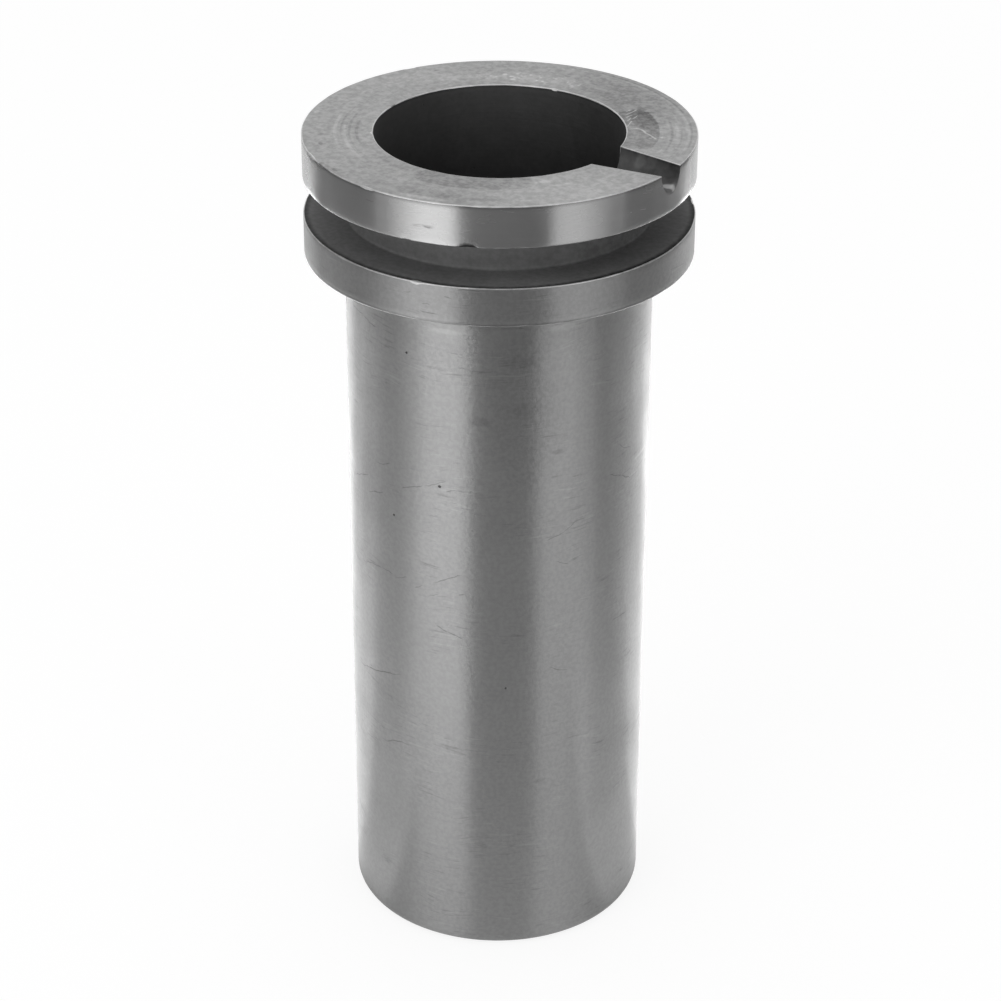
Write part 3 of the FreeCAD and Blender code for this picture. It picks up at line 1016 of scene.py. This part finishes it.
class CRUCIBLE_OT_turn(bpy.types.Operator):
    """Turn the crucible: its form with the pour notch, and the finish of every surface"""

    bl_idname = "crucible.turn"
    bl_label = "Turn the Crucible"

    def execute(self, context):
        finishes = make_finishes(context.scene.crucible_tones)
        data = crucible_mesh(context.scene.crucible_sizes, list(finishes))
        if not data.polygons:
            raise RuntimeError("the crucible has no faces")
        for material in finishes.values():
            data.materials.append(material)
        piece = add_piece(context.scene, "crucible_turned", data)
        shading = piece.modifiers.new("even shading", "WEIGHTED_NORMAL")
        shading.weight = EVEN_SHADING
        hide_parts("crucible")
        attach(piece, "root")
        return {"FINISHED"}


# The camera that the photograph was taken with, and where lamps and cards stand seen from it.
PHOTO_AZIMUTH = math.radians(32.6)
CAMERA_PITCH = math.radians(28.376)
CAMERA_ROLL = math.radians(0.228)
CAMERA_LENS = 109.81
CAMERA_SENSOR = 36.0
CAMERA_DISTANCE = 475.4 * MM
CAMERA_ASIDE = 0.33 * MM
AIM_HEIGHT = 68.38 * MM

# The studio's floor and lamps.
FLOOR_RADIUS = 2.0
FLOOR_GLOW, FLOOR_SHADE = 0.83, 0.25
LAMP_AIM = Vector((0, 0, 0.08))
LAMP_DISTANCE, LAMP_LEVEL, LAMP_HEIGHT = 0.75, 0.50, 0.80
Lamp = namedtuple("Lamp", "name degrees width power")
LAMPS = (Lamp("key_lamp", -41.8, 0.58, "key_power"), Lamp("fill_lamp", 43.5, 0.41, "fill_power"))
GLOW_SHARE = "glow_share"


def from_camera(degrees, distance, height):
    """A point round the crucible, degrees to the right of the camera as the crucible sees it."""
    angle = PHOTO_AZIMUTH - math.pi / 2 + math.radians(degrees)
    return polar(distance, angle, height)


def white_light(nodes, kind, light):
    """The output of a white emission or background."""
    return nodes.add(kind, {"Color": (1, 1, 1, 1), "Strength": light}).outputs[0]


def seen_by_eye(nodes):
    """1 for rays from the camera and for those mirrored or let through, and 0 for others."""
    path = nodes.add("LightPath").outputs
    mirrored = nodes.maths("MAXIMUM", path["Is Camera Ray"], path["Is Glossy Ray"])
    return nodes.maths("MAXIMUM", mirrored, path["Is Transmission Ray"])


def floor_surface(colour):
    """A pale floor whose white is its own where the camera and mirrored rays see it.

    Other rays meet a plain matte surface, so that it adds no light to the crucible.
    """
    material, tree = empty_material("pale_floor")
    nodes = Nodes(tree)
    matte = nodes.add("BsdfDiffuse", {"Color": (*colour, 1.0)}).outputs[0]
    shaded = nodes.add("BsdfDiffuse", {"Color": (FLOOR_SHADE,) * 3 + (1.0,)}).outputs[0]
    seen = nodes.add("AddShader", [shaded, white_light(nodes, "Emission", FLOOR_GLOW)]).outputs[0]
    choice = nodes.add("MixShader", [seen_by_eye(nodes), matte, seen]).outputs[0]
    nodes.add("OutputMaterial", [choice])
    return material


def add_floor(scene, colour):
    """The pale floor, which keeps the crucible's shadow."""
    mesh = bmesh.new()
    bmesh.ops.create_circle(mesh, cap_ends=True, segments=128, radius=FLOOR_RADIUS)
    data = mesh_data("studio_floor", mesh)
    data.materials.append(floor_surface(colour))
    add_piece(scene, "studio_floor", data)


def glowing(name, light):
    """A card's own light, none for a black card, less where its ends are soft."""
    material, tree = empty_material(name)
    nodes = Nodes(tree)
    share = nodes.add("Attribute", attribute_name=GLOW_SHARE).outputs["Fac"]
    glow = white_light(nodes, "Emission", nodes.maths("MULTIPLY", share, light))
    nodes.add("OutputMaterial", [glow])
    return material


def add_card(scene, card, light):
    """A curved card round part of the crucible, black or glowing, seen only in reflections."""
    mesh = bmesh.new()
    rows, shares = [], []
    for degrees in spaced(card.start, card.end, CARD_STEPS):
        edges = ((card.near, card.low), (card.far, card.high))
        rows.append([mesh.verts.new(from_camera(degrees, *edge)) for edge in edges])
        rise = (degrees - card.start) / card.soft_start if card.soft_start else 1.0
        fall = (card.end - degrees) / card.soft_end if card.soft_end else 1.0
        shares += [min(rise, fall, 1.0)] * 2
    for row, next_row in zip(rows, rows[1:]):
        mesh.faces.new((row[0], next_row[0], next_row[1], row[1]))
    data = mesh_data(card.name, mesh)
    data.attributes.new(GLOW_SHARE, "FLOAT", "POINT").data.foreach_set("value", shares)
    data.materials.append(glowing(card.name, light))
    piece = add_piece(scene, card.name, data)
    piece.visible_camera = False
    piece.visible_diffuse = False
    piece.visible_shadow = False
    piece.visible_transmission = False


def add_lamp(scene, lamp, power):
    """A soft tall lamp that lights the crucible and isn't seen itself."""
    light = bpy.data.lights.new(lamp.name, "AREA")
    light.shape = "RECTANGLE"
    light.size = lamp.width
    light.size_y = LAMP_HEIGHT
    light.energy = power
    piece = add_piece(scene, lamp.name, light)
    piece.location = from_camera(lamp.degrees, LAMP_DISTANCE, LAMP_LEVEL)
    piece.rotation_euler = (LAMP_AIM - piece.location).to_track_quat("-Z", "Y").to_euler()
    piece.visible_camera = False


def set_world(scene, ambient):
    """White behind everything for the eye, and an even grey light for the rest."""
    world = bpy.data.worlds.new("studio")
    world.use_nodes = True
    world.node_tree.nodes.clear()
    nodes = Nodes(world.node_tree)
    lights = [white_light(nodes, "Background", light) for light in (ambient, 1.0)]
    choice = nodes.add("MixShader", [seen_by_eye(nodes), *lights]).outputs[0]
    nodes.add("OutputWorld", [choice])
    scene.world = world


def set_camera(scene):
    """The photograph's own camera."""
    data = bpy.data.cameras.new("photo_camera")
    data.lens = CAMERA_LENS
    data.sensor_width = CAMERA_SENSOR
    camera = add_piece(scene, "photo_camera", data)
    back = CAMERA_DISTANCE * math.cos(CAMERA_PITCH)
    above = AIM_HEIGHT + CAMERA_DISTANCE * math.sin(CAMERA_PITCH)
    camera.location = from_camera(0, back, above) + polar(CAMERA_ASIDE, PHOTO_AZIMUTH, 0)
    tilt = Euler((math.pi / 2 - CAMERA_PITCH, 0, PHOTO_AZIMUTH)).to_matrix()
    camera.rotation_euler = (tilt @ Matrix.Rotation(CAMERA_ROLL, 3, "Z")).to_euler()
    scene.camera = camera


# Cards round the crucible, from start to end in degrees right of the camera. Each goes from
# its near and low edge to its far and high one. Its light rises and falls over its soft
# degrees at the start and at the end.
Card = namedtuple("Card", "name start end near low far high glow soft_start soft_end")
CARD_STEPS = 48
CARD_LIFT = 0.0005
BESIDE = 0.026


def standing(name, start, end, away, high, glow=None):
    """A card that stands on the floor, black if it has no glow."""
    return Card(name, start, end, away, 0.0, away, high, glow, 0.0, 0.0)


def lying(name, start, end, near, far, glow, soft_start=0.0, soft_end=0.0):
    """A white card that lies just over the floor."""
    return Card(name, start, end, near, CARD_LIFT, far, CARD_LIFT, glow, soft_start, soft_end)


CARDS = (
    standing("left_black_card", -132.0, -69.0, 0.20, 0.6),
    standing("right_black_card", 70.0, 130.0, 0.20, 0.6),
    standing("front_grey_card", -18.7, 10.5, 0.10, 0.6, "grey_glow"),
    standing("front_black_card", 10.5, 25.0, 0.10, 0.6),
    lying("left_white_card", -60.0, -20.0, 0.11, 0.17, "left_glow"),
    lying("left_far_card", -69.0, -21.0, 0.17, 0.60, "left_far_glow", 26.0, 6.0),
    lying("right_far_card", 25.0, 70.0, 0.18, 0.60, "right_glow", 8.0, 26.0),
    lying("left_side_card", -102.0, -60.0, BESIDE, 0.17, "side_glow"),
    lying("right_low_side_card", 57.5, 94.0, BESIDE, 0.11, "side_glow"),
    lying("right_side_card", 94.0, 108.0, BESIDE, 0.17, "side_glow"),
    lying("left_turning_card", -120.0, -102.0, BESIDE, 0.20, "near_glow"),
    lying("right_turning_card", 108.0, 120.0, BESIDE, 0.20, "near_glow"),
    lying("left_near_behind_card", -180.0, -120.0, BESIDE, 0.15, "near_glow"),
    lying("right_near_behind_card", 120.0, 180.0, BESIDE, 0.15, "near_glow"),
    lying("left_far_behind_card", -180.0, -120.0, 0.15, 0.27, "far_glow"),
    lying("right_far_behind_card", 120.0, 180.0, 0.15, 0.27, "far_glow"),
    standing("left_back_card", -173.0, -134.5, 0.22, 0.022, "back_glow"),
    standing("right_back_card", 134.5, 173.0, 0.22, 0.022, "back_glow"),
)


class CRUCIBLE_OT_stage(bpy.types.Operator):
    """Set the plain studio: floor, cards, lamps, the even light and the camera"""

    bl_idname = "crucible.set_stage"
    bl_label = "Set the Stage"

    def execute(self, context):
        scene = context.scene
        light = scene.crucible_light
        add_floor(scene, scene.crucible_tones.floor)
        for card in CARDS:
            add_card(scene, card, getattr(light, card.glow) if card.glow else 0.0)
        for lamp in LAMPS:
            add_lamp(scene, lamp, getattr(light, lamp.power))
        set_world(scene, light.ambient)
        set_camera(scene)
        scene.view_settings.view_transform = "Standard"
        return {"FINISHED"}


class CRUCIBLE_PT_panel(bpy.types.Panel):
    """The crucible's sizes, tones, light and steps"""

    bl_label = "Foundry Crucible"
    bl_idname = "CRUCIBLE_PT_panel"
    bl_space_type = "VIEW_3D"
    bl_region_type = "UI"
    bl_category = "Crucible"

    def draw(self, context):
        for name in SETTINGS:
            box = self.layout.box()
            group = getattr(context.scene, name)
            for setting in group.__annotations__:
                box.prop(group, setting)
        for step in (CRUCIBLE_OT_turn, CRUCIBLE_OT_stage):
            self.layout.operator(step.bl_idname)


SETTINGS = {
    "crucible_sizes": CrucibleSizes,
    "crucible_tones": CrucibleTones,
    "crucible_light": StudioLight,
}
CLASSES = (*SETTINGS.values(), CRUCIBLE_OT_turn, CRUCIBLE_OT_stage, CRUCIBLE_PT_panel)


def register():
    for each in CLASSES:
        bpy.utils.register_class(each)
    for name, group in SETTINGS.items():
        setattr(bpy.types.Scene, name, PointerProperty(type=group))


def unregister():
    for name in SETTINGS:
        delattr(bpy.types.Scene, name)
    for each in reversed(CLASSES):
        bpy.utils.unregister_class(each)


def main():
    register()
    bpy.ops.crucible.turn()
    bpy.ops.crucible.set_stage()


if __name__ == "__main__":
    main()
